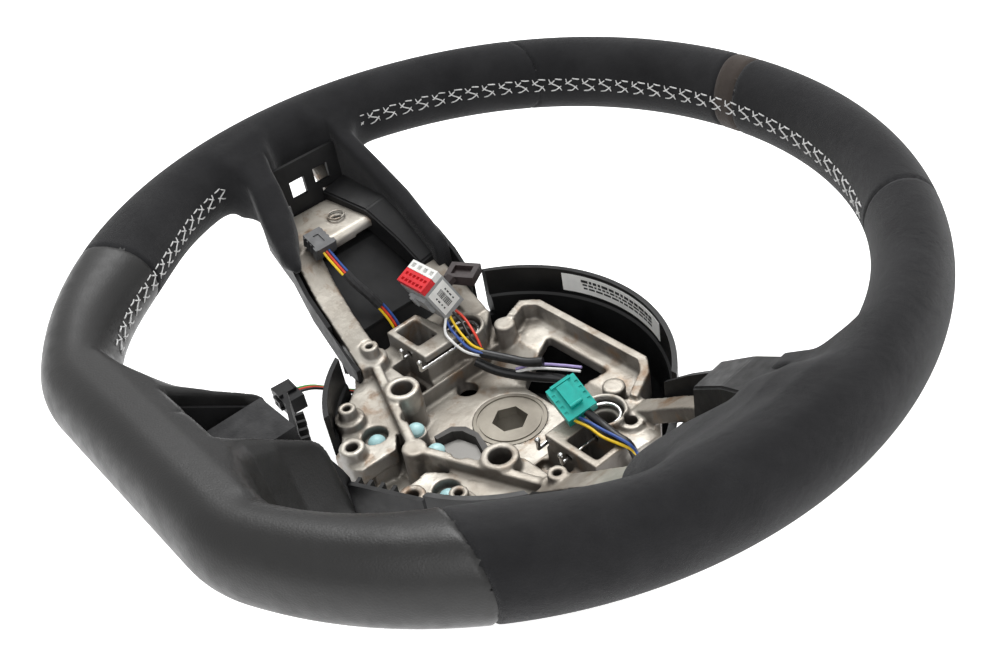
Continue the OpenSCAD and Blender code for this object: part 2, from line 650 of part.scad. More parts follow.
// ---- the pieces ----------------------------------------------------------------------------------
armature();
hub_insert();
rim_foam();
cover_leather_lower();
cover_suede_left();
cover_suede_top_left();
cover_suede_top_right();
cover_suede_right();
marker_band();
seam_thread();
rear_cover();
rear_cover_label();
rear_cover_screws();
lock_spring_left();
lock_spring_right();
spoke_carrier_left();
spoke_carrier_right();
spoke_carrier_lower();
spoke_pad_lower();
hub_grommets();
damper_plate();
damper_strap();
airbag_plug_body();
airbag_plug_lock();
airbag_plug_cap();
airbag_plug_label();
harness_clip();
teal_plug_body();
teal_plug_latch();
switch_plug_body();
heater_plug_body();
heater_plug_latch();
airbag_wire_black();
airbag_wire_yellow();
airbag_wire_blue();
airbag_wire_white();
airbag_wire_red();
airbag_sheath_upper();
airbag_sheath_lower();
airbag_tail_white();
airbag_tail_lilac();
teal_wire_yellow();
teal_wire_blue();
teal_sheath();
switch_wire_yellow();
switch_wire_red();
switch_wire_blue();
switch_sleeve();
heater_wire_red();
heater_wire_black();
heater_wire_green();
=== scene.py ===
"""Looks of a sports steering wheel with its airbag removed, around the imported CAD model."""
import math
import random

import bmesh
import bpy
import numpy as np
from mathutils import Matrix, Vector


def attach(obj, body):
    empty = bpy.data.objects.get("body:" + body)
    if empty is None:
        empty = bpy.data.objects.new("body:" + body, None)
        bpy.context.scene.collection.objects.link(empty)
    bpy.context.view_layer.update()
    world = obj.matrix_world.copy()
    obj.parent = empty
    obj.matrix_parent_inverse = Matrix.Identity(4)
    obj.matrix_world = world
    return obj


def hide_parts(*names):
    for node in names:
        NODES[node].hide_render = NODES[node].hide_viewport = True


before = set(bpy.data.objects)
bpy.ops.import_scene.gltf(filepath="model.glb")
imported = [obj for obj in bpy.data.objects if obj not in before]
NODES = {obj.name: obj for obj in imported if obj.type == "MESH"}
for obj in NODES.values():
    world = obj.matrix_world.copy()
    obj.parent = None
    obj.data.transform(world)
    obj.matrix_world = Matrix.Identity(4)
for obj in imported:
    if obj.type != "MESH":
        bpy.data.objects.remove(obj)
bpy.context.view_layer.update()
MM = 0.001
WHEEL = "wheel"
SCENE = bpy.context.scene

# ---------------------------------------------------------------- camera

RIGHT = Vector((0.64422, 0.74781, -0.16049))
UP = Vector((-0.38402, 0.49772, 0.77769))
AHEAD = Vector((-0.66144, 0.43937, -0.60782))
EYE = Vector((330.78, -228.58, 360.84))  # millimetres
camera_data = bpy.data.cameras.new("camera")
camera = bpy.data.objects.new("camera", camera_data)
SCENE.collection.objects.link(camera)
turn = Matrix((RIGHT, UP, -AHEAD)).transposed().to_4x4()
camera.matrix_world = Matrix.Translation(EYE * MM) @ turn
camera_data.lens = 40.55
camera_data.sensor_width = 36
camera_data.shift_x = 0.0229
camera_data.shift_y = 0.0019
camera_data.clip_start = 0.01
SCENE.camera = camera

# ---------------------------------------------------------------- materials


class Shader:
    """A small helper that builds one node material on the Principled shader."""

    def __init__(self, name, **sockets):
        self.material = bpy.data.materials.new(name)
        self.material.use_nodes = True
        self.tree = self.material.node_tree
        self.bsdf = self.tree.nodes["Principled BSDF"]
        self.place = self.add("ShaderNodeTexCoord").outputs["Object"]
        for socket, value in sockets.items():
            self.bsdf.inputs[socket.replace("_", " ")].default_value = value

    def add(self, kind, **values):
        node = self.tree.nodes.new(kind)
        for key, value in values.items():
            setattr(node, key, value)
        return node

    def feed(self, source, target):
        self.tree.links.new(source, target)

    def noise(self, scale, detail=4.0, roughness=0.55, distortion=0.0, place=None):
        node = self.add("ShaderNodeTexNoise")
        node.inputs["Scale"].default_value = scale
        node.inputs["Detail"].default_value = detail
        node.inputs["Roughness"].default_value = roughness
        node.inputs["Distortion"].default_value = distortion
        self.feed(place or self.place, node.inputs["Vector"])
        return node.outputs["Fac"]

    def cells(self, scale):
        node = self.add("ShaderNodeTexVoronoi")
        node.inputs["Scale"].default_value = scale
        self.feed(self.place, node.inputs["Vector"])
        return node.outputs["Distance"]

    def stretched(self, scale):
        node = self.add("ShaderNodeMapping")
        node.inputs["Scale"].default_value = scale
        self.feed(self.place, node.inputs["Vector"])
        return node.outputs["Vector"]

    def span(self, fac, low, high, to_low=0.0, to_high=1.0):
        node = self.add("ShaderNodeMapRange")
        for socket, value in (("From Min", low), ("From Max", high), ("To Min", to_low), ("To Max", to_high)):
            node.inputs[socket].default_value = value
        self.feed(fac, node.inputs["Value"])
        return node.outputs["Result"]

    def sum(self, a, b):
        node = self.add("ShaderNodeMath", operation="ADD")
        self.feed(a, node.inputs[0])
        self.feed(b, node.inputs[1])
        return node.outputs[0]

    def colour(self, fac, a, b):
        """Mixes two colours; each is a tuple or another colour output."""
        node = self.add("ShaderNodeMix", data_type="RGBA")
        self.feed(fac, node.inputs["Factor"])
        for value, socket in ((a, node.inputs["A"]), (b, node.inputs["B"])):
            if isinstance(value, tuple):
                socket.default_value = (*value, 1)
            else:
                self.feed(value, socket)
        return node.outputs["Result"]

    def facing(self, axis):
        """The surface normal's own component along x, y or z."""
        split = self.add("ShaderNodeSeparateXYZ")
        self.feed(self.add("ShaderNodeTexCoord").outputs["Normal"], split.inputs[0])
        return split.outputs[axis]

    def bump(self, height, distance, under=None):
        node = self.add("ShaderNodeBump")
        node.inputs["Strength"].default_value = 1.0
        node.inputs["Distance"].default_value = distance
        self.feed(height, node.inputs["Height"])
        if under is not None:
            self.feed(under, node.inputs["Normal"])
        return node.outputs["Normal"]

    def done(self, colour=None, roughness=None, normal=None, metallic=None):
        for value, socket in ((colour, "Base Color"), (roughness, "Roughness"), (normal, "Normal"),
                              (metallic, "Metallic")):
            if value is not None:
                self.feed(value, self.bsdf.inputs[socket])
        return self.material


def plain(name, light, dark, rough=0.5, mottle=90, grain=1800, depth=0.00004, **sockets):
    """Moulded or painted stuff: two close tones, a fine grain and a slightly uneven gloss."""
    s = Shader(name, **sockets)
    tone = s.colour(s.span(s.noise(mottle, 5), 0.35, 0.65), dark, light)
    gloss = s.span(s.noise(mottle * 2.3, 3), 0.3, 0.7, max(0.02, rough - 0.07), rough + 0.07)
    return s.done(tone, gloss, s.bump(s.noise(grain, 2), depth))


def suede_material(name, light, dark):
    s = Shader(name, Specular_IOR_Level=0.12, Sheen_Weight=0.16, Sheen_Roughness=0.4)
    nap = s.span(s.noise(38, 5, 0.62), 0.32, 0.68)
    fibre = s.noise(2600, 4, 0.8)
    tone = s.colour(nap, dark, light)
    tone = s.colour(s.span(fibre, 0.25, 0.75), s.colour(nap, dark, dark), tone)
    lumps = s.bump(s.noise(260, 4, 0.6), 0.00025)
    return s.done(tone, s.span(fibre, 0.3, 0.7, 0.85, 1.0), s.bump(fibre, 0.00022, lumps))


def leather_material(name, light, dark, rough=0.42):
    s = Shader(name, Specular_IOR_Level=0.4)
    cells = s.cells(1150)
    fine = s.noise(1700, 3)
    tone = s.colour(s.span(s.noise(28, 4), 0.3, 0.7), dark, light)
    folds = s.bump(s.noise(60, 3, 0.5), 0.00015)
    grain = s.sum(s.span(cells, 0.0, 0.7), s.span(fine, 0.2, 0.8, 0.0, 0.35))
    gloss = s.span(s.noise(160, 3), 0.3, 0.7, rough - 0.05, rough + 0.08)
    return s.done(tone, gloss, s.bump(grain, 0.00003, folds))


def cast_material(name):
    """Cast light alloy with brown stains and blotchy tone; painted light makes faces that look up
    beige-white, and painted shade makes the sides greyer and the recesses near black.
    """
    s = Shader(name, Specular_IOR_Level=0.5)
    # painted light and shade: faces turned up get the lighter tone, faces turned sideways the darker one
    up = s.span(s.facing("Z"), 0.15, 0.9)
    blotch = s.span(s.noise(22, 6, 0.62, 0.6), 0.38, 0.64)
    spots = s.span(s.noise(75, 5, 0.6, 0.3), 0.54, 0.7)
    # painted lit and shaded copies of the alloy tone: the first for upward faces, the second for the sides
    top = s.colour(blotch, (0.49, 0.46, 0.405), (0.31, 0.275, 0.23))
    side = s.colour(blotch, (0.30, 0.285, 0.265), (0.14, 0.125, 0.11))
    tone = s.colour(up, side, top)
    tone = s.colour(spots, tone, (0.22, 0.145, 0.09))
    cream = s.span(s.noise(47, 4, 0.5), 0.6, 0.72, 0.0, 0.7)
    tone = s.colour(cream, tone, (0.62, 0.585, 0.52))
    # painted shade: recesses and gaps between parts darken towards near black through ambient occlusion
    painted_recess_shade = s.add("ShaderNodeAmbientOcclusion", samples=6)
    painted_recess_shade.inputs["Distance"].default_value = 0.012
    tone = s.colour(s.span(painted_recess_shade.outputs["AO"], 0.12, 0.78), (0.045, 0.038, 0.032), tone)
    flow = s.bump(s.noise(120, 5, 0.6), 0.0005)
    sand = s.bump(s.noise(1500, 3, 0.6), 0.00009, flow)
    gloss = s.span(s.noise(110, 4), 0.3, 0.7, 0.3, 0.52)
    metal = s.span(s.noise(60, 4), 0.35, 0.65, 0.3, 0.6)
    return s.done(tone, gloss, sand, metal)


def steel_material(name, colour=(0.62, 0.61, 0.59), rough=0.2):
    s = Shader(name, Metallic=1.0)
    lines = s.noise(900, 3, 0.6, place=s.stretched((1, 1, 6)))
    tone = s.colour(s.span(lines, 0.3, 0.7), tuple(c * 0.8 for c in colour), colour)
    return s.done(tone, s.span(lines, 0.3, 0.7, rough - 0.06, rough + 0.1), s.bump(lines, 0.00002))


def tube_material(name, light, dark, rough=0.38):
    """Wire insulation or a sheath: soft gloss with faint scuffs."""
    s = Shader(name, Specular_IOR_Level=0.5)
    tone = s.colour(s.span(s.noise(420, 3), 0.35, 0.65), dark, light)
    gloss = s.span(s.noise(300, 3), 0.3, 0.7, rough - 0.06, rough + 0.1)
    return s.done(tone, gloss, s.bump(s.noise(1400, 2), 0.00003))


SUEDE = suede_material("suede_black", (0.028, 0.028, 0.0295), (0.012, 0.012, 0.013))
LEATHER = leather_material("leather_black", (0.0125, 0.0122, 0.012), (0.008, 0.0079, 0.0078), 0.4)
BAND = suede_material("band_brown", (0.075, 0.062, 0.054), (0.035, 0.029, 0.026))
CAST = cast_material("cast_alloy")
INSERT = plain("insert_steel", (0.30, 0.275, 0.23), (0.19, 0.17, 0.14), 0.5, 45, 1500, 0.00005, Metallic=0.55)
SPRING = steel_material("spring_steel", (0.78, 0.78, 0.77), 0.16)
PLATE = steel_material("plate_steel", (0.20, 0.195, 0.185), 0.45)
SCREW = steel_material("screw_steel", (0.45, 0.44, 0.42), 0.3)
THREAD = plain("thread_grey", (0.66, 0.66, 0.65), (0.42, 0.42, 0.42), 0.75, 900, 5200, 0.00008)
BLACK = plain("plastic_black", (0.0105, 0.0105, 0.011), (0.006, 0.006, 0.0065), 0.45, Specular_IOR_Level=0.32)
BLACK_GLOSSY = plain("plastic_black_cover", (0.009, 0.0093, 0.0096), (0.0055, 0.0055, 0.006), 0.36, 60, 1400,
                     Specular_IOR_Level=0.34)
CARRIER = plain("plastic_carrier", (0.0115, 0.0115, 0.012), (0.0065, 0.0065, 0.007), 0.5,
                Specular_IOR_Level=0.26)
CHARCOAL = plain("plastic_charcoal", (0.050, 0.051, 0.054), (0.034, 0.035, 0.037), 0.5)
FOAM = plain("foam_dark", (0.035, 0.035, 0.036), (0.018, 0.018, 0.019), 0.9, 120, 900, 0.0003)
RUBBER = plain("rubber_dark", (0.085, 0.08, 0.076), (0.045, 0.042, 0.04), 0.6)
CYAN = plain("rivet_cyan", (0.46, 0.70, 0.71), (0.36, 0.60, 0.62), 0.3, 140, 1500, 0.00003)
TEAL = plain("plastic_teal", (0.0, 0.42, 0.36), (0.0, 0.34, 0.29), 0.36, 200)
RED = plain("plastic_red", (0.66, 0.028, 0.035), (0.55, 0.02, 0.028), 0.36, 200)
WHITE = plain("plastic_white", (0.80, 0.80, 0.78), (0.70, 0.70, 0.68), 0.42, 200)
GREY = plain("plastic_grey", (0.33, 0.34, 0.345), (0.27, 0.275, 0.28), 0.42, 200)
PAPER = plain("label_paper", (0.84, 0.84, 0.82), (0.74, 0.74, 0.72), 0.4, 150, 2500, 0.00001)
INK = plain("label_ink", (0.022, 0.022, 0.024), (0.014, 0.014, 0.016), 0.5, 300)
CLIP = plain("plastic_clip", (0.036, 0.024, 0.024), (0.022, 0.015, 0.015), 0.5, 200)
SHEATH = tube_material("sheath_black", (0.014, 0.014, 0.015), (0.008, 0.008, 0.009), 0.36)
TAPE = plain("tape_black", (0.02, 0.02, 0.021), (0.01, 0.01, 0.011), 0.7, 500, 2600, 0.00012)
WIRE = {
    "black": tube_material("wire_black", (0.012, 0.012, 0.013), (0.008, 0.008, 0.008)),
    "yellow": tube_material("wire_yellow", (0.86, 0.58, 0.01), (0.74, 0.47, 0.01)),
    "blue": tube_material("wire_blue", (0.035, 0.10, 0.38), (0.025, 0.07, 0.28)),
    "white": tube_material("wire_white", (0.84, 0.84, 0.82), (0.72, 0.72, 0.71)),
    "red": tube_material("wire_red", (0.72, 0.055, 0.025), (0.6, 0.04, 0.02)),
    "lilac": tube_material("wire_lilac", (0.40, 0.33, 0.62), (0.33, 0.27, 0.53)),
    "green": tube_material("wire_green", (0.09, 0.40, 0.10), (0.07, 0.31, 0.08)),
}

# ---------------------------------------------------------------- small tools


def dress(name, material):
    """Gives a CAD node its finish."""
    obj = NODES[name]
    obj.data.materials.clear()
    obj.data.materials.append(material)
    return obj


def made(name, verts, faces, material, smooth=True):
    """A mesh object from corners in millimetres."""
    mesh = bpy.data.meshes.new(name)
    mesh.from_pydata([tuple(float(c) * MM for c in v) for v in verts], [], faces)
    mesh.validate()
    obj = bpy.data.objects.new(name, mesh)
    SCENE.collection.objects.link(obj)
    mesh.materials.append(material)
    if smooth:
        mesh.shade_smooth()
    return obj


def wheel_piece(obj, slot, *nodes):
    """Fixes a piece to the wheel and hides the CAD nodes that it stands for."""
    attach(obj, WHEEL)
    if nodes:
        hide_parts(*nodes)
    return obj


def spline(points, n):
    """n points, evenly spaced, on a smooth curve through the given points."""
    p = np.array(points, float)
    p = np.vstack([2 * p[0] - p[1], p, 2 * p[-1] - p[-2]])
    fine = []
    for i in range(1, len(p) - 2):
        a, b, c, d = p[i - 1:i + 3]
        for t in np.linspace(0, 1, 24, endpoint=False):
            fine.append(0.5 * (2 * b + (c - a) * t + (2 * a - 5 * b + 4 * c - d) * t * t
                               + (3 * b - a - 3 * c + d) * t ** 3))
    fine = np.array([*fine, p[-2]])
    gone = np.concatenate([[0], np.cumsum(np.linalg.norm(np.diff(fine, axis=0), axis=1))])
    at = np.linspace(0, gone[-1], n)
    return np.stack([np.interp(at, gone, fine[:, k]) for k in range(3)], 1), gone[-1]


def rotation(degrees):
    """The matrix of OpenSCAD's rotate([x, y, z])."""
    x, y, z = (math.radians(d) for d in degrees)
    return Matrix.Rotation(z, 3, "Z") @ Matrix.Rotation(y, 3, "Y") @ Matrix.Rotation(x, 3, "X")


class Local:
    """A tilted frame of a plug, in millimetres."""

    def __init__(self, at, turned):
        self.at, self.turned = Vector(at), rotation(turned)

    def __call__(self, x, y, z):
        return tuple(self.at + self.turned @ Vector((x, y, z)))


AIR = Local((-54.4, 0.6, 50), (24, -5, -2))
TEAL_AT = Local((50.9, -5.5, 32.2), (15, 22, -9))

# ---------------------------------------------------------------- cords


def lead(name, node, points, radius, material, slot):
    """One wire or sheath: a smooth open curve that stands for its CAD node.

    A lead with a plug starts at the plug and leaves the wheel at its last point.
    Any other leaves at its first.
    """
    pts, length = spline(points, LEAD_POINTS)
    data = bpy.data.curves.new(name, "CURVE")
    data.dimensions = "3D"
    data.bevel_depth = radius * MM
    data.bevel_resolution = 4
    data.use_fill_caps = True
    line = data.splines.new("POLY")
    line.points.add(len(pts) - 1)
    for p, q in zip(line.points, pts):
        p.co = (*(float(c) * MM for c in q), 1)
    line.use_smooth = True
    data.materials.append(material)
    obj = bpy.data.objects.new(name, data)
    SCENE.collection.objects.link(obj)
    wheel_piece(obj, slot, node)


def plug_wire(name, node, points, radius, tint):
    lead(name, node, points, radius, WIRE[tint], "wire_" + tint)


def air_pin(x, y):
    """Where a wire enters the underside of the airbag connector."""
    return AIR(x, y, -22.4)


def teal_pin(y):
    """Where a wire enters the end of the teal connector."""
    return TEAL_AT(-1, y, -3.2)


LEAD_POINTS = 26
WIRE_R, THIN_R = 0.7, 0.65
UPPER_R, LOWER_R, TEAL_R = 2.3, 2.5, 1.9
ROW_PITCH = 1.6  # between the wires that run side by side
UPPER = [(-31, 11.6, 17.5), (-19.2, 19.6, 14.5), (-11, 23.5, 14), (-4, 28.2, 15)]
LOWER = [(-33.5, 9.6, 12), (-24, 14.2, 8), (-14, 20.5, 6), (-5, 26.5, 5.5), (3, 32.5, 4.5), (10, 37, 0),
         (13, 37.5, -8), (14, 36.5, -16)]
AIR_RUNS = {
    "black": [air_pin(-1.5, 5.2), (-47.5, 15, 27.6), (-39, 12.2, 24.9), (-33.8, 12.4, 20.8),
              (-30.8, 13.5, 17.5), (-27, 15, 16.4)],
    "yellow": [air_pin(-3.4, 4.2), (-49.5, 11.8, 27.4), (-41.5, 9.6, 25.7), (-34.5, 9.9, 21.8),
               (-30.3, 12.7, 18.9), (-27, 14.4, 16.6)],
    "blue": [air_pin(-4, 2), (-49.5, 8.8, 27.3), (-42, 6.6, 26.7), (-35, 7.6, 21.6), (-29.3, 11.3, 18.4),
             (-26, 15, 16.3)],
    "white": [air_pin(-1.3, 1.4), (-47.5, 4.6, 27.4), (-41, 2.6, 26.4), (-34, 5, 21), (-29.3, 11.3, 16.6),
              (-25, 15.6, 16)],
    "red": [air_pin(-3, 7), (-48.5, 17.8, 27.2), (-39, 15.3, 24.8), (-34.2, 14.2, 20.8), (-30.2, 12.7, 16.1),
            (-26, 15, 16)],
}
TAIL_RUNS = {
    "white": [(-17, 18.2, 7.6), (-8, 25.8, 10), (3, 33, 10.5), (12, 37.4, 11)],
    "lilac": [(-16.8, 20.7, 8.5), (-9, 27.9, 10.8), (2, 34.9, 11.3), (11, 39.3, 11.8)],
}
TEAL_SHEATH = [teal_pin(9.2), (60, 5.4, 28.2), (69, 4.6, 27.5), (76, 5, 26.2), (79.3, 5.5, 18), (79, 6, 8.6)]
TEAL_RUNS = {
    "yellow": [teal_pin(2.4), (57, 0.3, 28.3), (65, 0.6, 27.2), (77, 3.4, 26.4), (79.5, 5, 23)],
    "blue": [teal_pin(5), (57, 2, 29.4), (63, 2.3, 29.2), (75.5, 3.8, 28.4), (79.5, 5, 24.5),
             (79.8, 5.5, 21)],
}
SWITCH_RUN = [(-107.8, -16.3, 63.4), (-101, -14.6, 55), (-93.5, -12.6, 47), (-88, -9, 39), (-84, -5, 29),
              (-79.5, -3.5, 20), (-79, -3, 8)]
HEATER_RUN = [(-75.2, -69.4, 24), (-74.5, -60, 20.5), (-72.8, -50.5, 13.5), (-71.2, -44.2, 8.9),
              (-67.5, -39.3, 6.95)]

lead("lead_sheath_upper", "airbag_sheath_upper", UPPER, UPPER_R, SHEATH, "sheath")
lead("lead_sheath_lower", "airbag_sheath_lower", LOWER, LOWER_R, SHEATH, "sheath")
for tint, points in AIR_RUNS.items():
    plug_wire("airbag_lead_" + tint, "airbag_wire_" + tint, points, WIRE_R, tint)
for tint, points in TAIL_RUNS.items():
    lead("tail_" + tint, "airbag_tail_" + tint, points, WIRE_R, WIRE[tint], "wire_" + tint)
lead("teal_lead_sheath", "teal_sheath", TEAL_SHEATH, TEAL_R, SHEATH, "sheath")
for tint, points in TEAL_RUNS.items():
    plug_wire("teal_lead_" + tint, "teal_wire_" + tint, points, WIRE_R, tint)
for tint, row in (("yellow", -1), ("red", 0), ("blue", 1)):
    points = [(x, y + row * ROW_PITCH, z) for x, y, z in SWITCH_RUN]
    plug_wire("switch_lead_" + tint, "switch_wire_" + tint, points, THIN_R, tint)
for tint, row in (("red", 0), ("black", 1), ("green", -1)):
    points = [(x + row * ROW_PITCH, y, z) for x, y, z in HEATER_RUN]
    plug_wire("heater_lead_" + tint, "heater_wire_" + tint, points, THIN_R, tint)
dress("switch_sleeve", TAPE)

# ---------------------------------------------------------------- rim covers, from a distance field

RIM_R, RIM_CY, RIM_Z, RIM_A, RIM_B = 172.5, 1.5, 94.0, 15.0, 19.0
FLAT_Y, CORNER_R = 160.0, 45.0
CORNER_X = math.sqrt((RIM_R - CORNER_R) ** 2 - (FLAT_Y + RIM_CY - CORNER_R) ** 2)
CORNER_Y = CORNER_R - FLAT_Y
SWELL, SWELL_AT, SWELL_SPREAD = 7.5, 51, 15  # millimetres, and degrees from the rim's lowest point
STEP = 1.3  # of the grid that the covers' skin is found on
SLOPE_STEP = 0.4  # half the distance over which that skin's slope is taken


def polygon_field(px, py, points):
    """Signed distance to a closed polygon, below 0 inside."""
    best = np.full(px.shape, 1e18)
    side = np.ones(px.shape)
    for i in range(len(points)):
        (ax, ay), (bx, by) = points[i], points[i - 1]
        ex, ey, wx, wy = bx - ax, by - ay, px - ax, py - ay
        t = np.clip((wx * ex + wy * ey) / (ex * ex + ey * ey), 0, 1)
        best = np.minimum(best, (wx - ex * t) ** 2 + (wy - ey * t) ** 2)
        c1, c2, c3 = py >= ay, py < by, ex * wy > ey * wx
        side = np.where((c1 & c2 & c3) | (~c1 & ~c2 & ~c3), -side, side)
    return side * np.sqrt(best)


def soft_min(a, b, k):
    """The smaller of two fields, rounded off where they are within k of each other."""
    h = np.clip(k - np.abs(a - b), 0, None) / k
    return np.minimum(a, b) - h * h * k * 0.25


def soft_max(a, b, k):
    return -soft_min(-a, -b, k)


def rim_offset(x, y):
    """How far outside the rim's centre line a point of the plan lies."""
    ax, dy = np.abs(x), y - RIM_CY
    round_part = np.hypot(x, dy) - RIM_R
    corner_part = np.hypot(ax - CORNER_X, y - CORNER_Y) - CORNER_R
    flat_part = -y - FLAT_Y
    low_angle = np.arctan2(CORNER_Y - RIM_CY, CORNER_X)
    in_round = np.arctan2(dy, ax) > low_angle
    return np.where(in_round, round_part, np.where(ax > CORNER_X, corner_part, flat_part))


def rim_angle(x, y):
    return np.degrees(np.arctan2(y - RIM_CY, x))


def wrapped(degrees):
    """An angle brought to between -180 and 180."""
    return (degrees + 180) % 360 - 180


def swell(angle):
    """How much thicker the grip is towards the hub, below each side spoke."""
    off_peak = np.abs(wrapped(angle + 90)) - SWELL_AT
    return SWELL * np.exp(-(off_peak / SWELL_SPREAD) ** 2)


def rim_field(x, y, z):
    """Roughly the distance to the oval grip, below 0 inside."""
    u, v = rim_offset(x, y), z - RIM_Z
    wide = RIM_A + np.where(u < 0, swell(rim_angle(x, y)), 0)
    k0 = np.sqrt((u / wide) ** 2 + (v / RIM_B) ** 2)
    k1 = np.sqrt((u / wide ** 2) ** 2 + (v / RIM_B ** 2) ** 2)
    return k0 * (k0 - 1) / np.maximum(k1, 1e-6)


# Plans of the spoke shoulders are in (distance from the middle plane, y). Crests are profiles of their
# height, in (distance from the middle plane, z) on the side spokes and in (-y, z) on the lower spoke.
CREST = [(60, 36), (70, 43), (80, 50), (152, 100), (174, 108), (174, 60), (150, 52), (118, 50), (100, 37),
         (78, 24), (60, 16)]
LOW_CREST = [(101, 66), (115, 75), (126, 84), (137, 94), (152, 103), (174, 108), (174, 74), (158, 72),
             (137, 70), (127, 65), (115, 61), (101, 62)]
LOW_CREST_RIGHT = [(107, 60), (115, 71), (126, 83), (137, 93), (152, 103), (174, 108), (174, 74), (158, 70),
                   (137, 64), (120, 54), (107, 46)]
LEATHER_CREST = [(94, 65), (98, 69), (105, 80), (141, 105), (160, 110), (160, 68), (141, 62), (120, 44),
                 (105, 33), (94, 29)]
LOW_SHOULDER = [(101, -34), (102, -38.5), (112, -39), (128, -35.5), (144, -30), (160, -31), (178, -36),
                (174, -12), (152, -12), (135, -15), (125, -19), (113, -28)]
LOW_SHOULDER_RIGHT = [(110, -22), (109, -30), (116, -39), (130, -41), (145, -42), (160, -47), (178, -40),
                      (174, 12), (150, 12), (140, 7), (134, -2), (124, -9), (115, -14)]
FLANK = [(0, -102.5), (21, -103), (23, -122), (27, -133), (34, -140), (44, -146), (55, -150), (55, -164),
         (0, -164)]
LEFT_ARM = [(82, 31), (82, 40), (110, 41), (130, 39), (146, 37), (156, 42), (168, 52), (178, 40), (174, 24),
            (152, 24), (130, 28), (110, 31)]
RIGHT_ARM = [(131, 26), (129, 38), (146, 37), (156, 42), (168, 52), (178, 40), (174, 5), (152, 5), (140, 8),
             (136, 16)]


SIDE_BAY_RIGHT = [(60, -10), (108, -10), (124, -7), (140, 8), (141, 25), (60, 25)]
SIDE_BAY_LEFT = [(60, -24), (112, -26), (126, -18.5), (151, -12), (152.6, 26), (130, 28), (60, 31)]
LOW_BAY = [(-1, -60), (20, -60), (20, -140.5), (-1, -140.5)]
BAY_TOP = 140
ARM_BLEND, LOW_BLEND, FLANK_BLEND, BAY_BLEND = 11, 15, 13, 3
FLANK_LEAN, FLANK_REACH = 0.32, 35
KEEP_FROM, KEEP_OVER = 12, 10  # where, inside the rim's centre line, its own section starts to return
GRID_LOW = np.array([-192.0, -180.0, 24.0])
GRID_HIGH = np.array([192.0, 192.0, 118.0])


def slab(x, y, z, plan, profile, across, k=5.0):
    """A plan polygon swept up and cut by a profile in (across, z)."""
    return soft_max(polygon_field(x, y, plan), polygon_field(across, z, profile), k)


def cover_field(x, y, z):
    """The wrapped rim with its spoke shoulders, in one smooth field."""
    plain_rim = rim_field(x, y, z)
    ax = np.abs(x)
    right = x > 0
    arm = np.where(right, slab(ax, y, z, RIGHT_ARM, CREST, ax), slab(ax, y, z, LEFT_ARM, CREST, ax))
    low = np.where(right, slab(ax, y, z, LOW_SHOULDER_RIGHT, LOW_CREST_RIGHT, ax, 9),
                   slab(ax, y, z, LOW_SHOULDER, LOW_CREST, ax))
    # the lower spoke's flanks lean outwards below its crest
    crest = np.interp(-y, *zip(*LEATHER_CREST[1:4]))
    below = np.clip(crest - z, 0, FLANK_REACH)
    flank = slab(ax - FLANK_LEAN * below, y, z, FLANK, LEATHER_CREST, -y)
    f = soft_min(plain_rim, arm, ARM_BLEND)
    f = soft_min(f, low, LOW_BLEND)
    f = soft_min(f, flank, FLANK_BLEND)
    # the rim keeps its own oval section on its outer side
    t = np.clip((rim_offset(x, y) + KEEP_FROM) / KEEP_OVER, 0, 1)
    t = t * t * (3 - 2 * t)
    f = f * (1 - t) + plain_rim * t
    # the openings of the spokes stay open behind the rim's own skin
    side_bay = np.where(right, polygon_field(ax, y, SIDE_BAY_RIGHT), polygon_field(ax, y, SIDE_BAY_LEFT))
    side_bay = soft_max(side_bay, z - BAY_TOP, 1)
    low_bay = polygon_field(ax, y, LOW_BAY)
    return soft_max(soft_max(f, -side_bay, BAY_BLEND), -low_bay, BAY_BLEND)


def cover_slope(x, y, z):
    d = SLOPE_STEP
    return np.stack([cover_field(x + d, y, z) - cover_field(x - d, y, z),
                     cover_field(x, y + d, z) - cover_field(x, y - d, z),
                     cover_field(x, y, z + d) - cover_field(x, y, z - d)], 1) / (2 * d)


def surface_net(field, low, step):
    """Vertices and quads of the zero surface of a sampled field. The quads face its inside."""
    inside = field < 0
    shape = tuple(n - 1 for n in field.shape)
    corners = [(i, j, k) for i in (0, 1) for j in (0, 1) for k in (0, 1)]
    count = sum(inside[i:i + shape[0], j:j + shape[1], k:k + shape[2]].astype(np.int8) for i, j, k in corners)
    cells = np.argwhere((count > 0) & (count < 8))
    number = np.full(shape, -1, np.int32)
    number[tuple(cells.T)] = np.arange(len(cells))
    value = {c: field[cells[:, 0] + c[0], cells[:, 1] + c[1], cells[:, 2] + c[2]] for c in corners}
    total, hits = np.zeros((len(cells), 3)), np.zeros(len(cells))
    for a in corners:
        for axis in range(3):
            if a[axis]:
                continue
            b = tuple(1 if n == axis else a[n] for n in range(3))
            fa, fb = value[a], value[b]
            cross = (fa < 0) != (fb < 0)
            t = np.where(cross, fa / np.where(cross, fa - fb, 1), 0)
            point = np.array(a, float)[None, :].repeat(len(cells), 0)
            point[:, axis] += t
            total += np.where(cross[:, None], point, 0)
            hits += cross
    verts = (cells + total / hits[:, None]) * step + low
    quads = []
    for axis in range(3):
        u, v = [(1, 2), (2, 0), (0, 1)][axis]
        head = [slice(1, -1)] * 3
        tail = [slice(1, -1)] * 3
        head[axis], tail[axis] = slice(0, -1), slice(1, None)
        change = inside[tuple(head)] != inside[tuple(tail)]
        at = np.argwhere(change)
        at = at + np.array([0 if n == axis else 1 for n in range(3)])
        du, dv = np.eye(3, dtype=int)[u], np.eye(3, dtype=int)[v]
        ring = [number[tuple((at - du - dv).T)], number[tuple((at - dv).T)], number[tuple(at.T)],
                number[tuple((at - du).T)]]
        quad = np.stack(ring, 1)
        filled = inside[tuple(at.T)]
        quad[filled] = quad[filled][:, ::-1]
        quads.append(quad)
    quads = np.concatenate(quads)
    return verts, quads[(quads >= 0).all(1)]


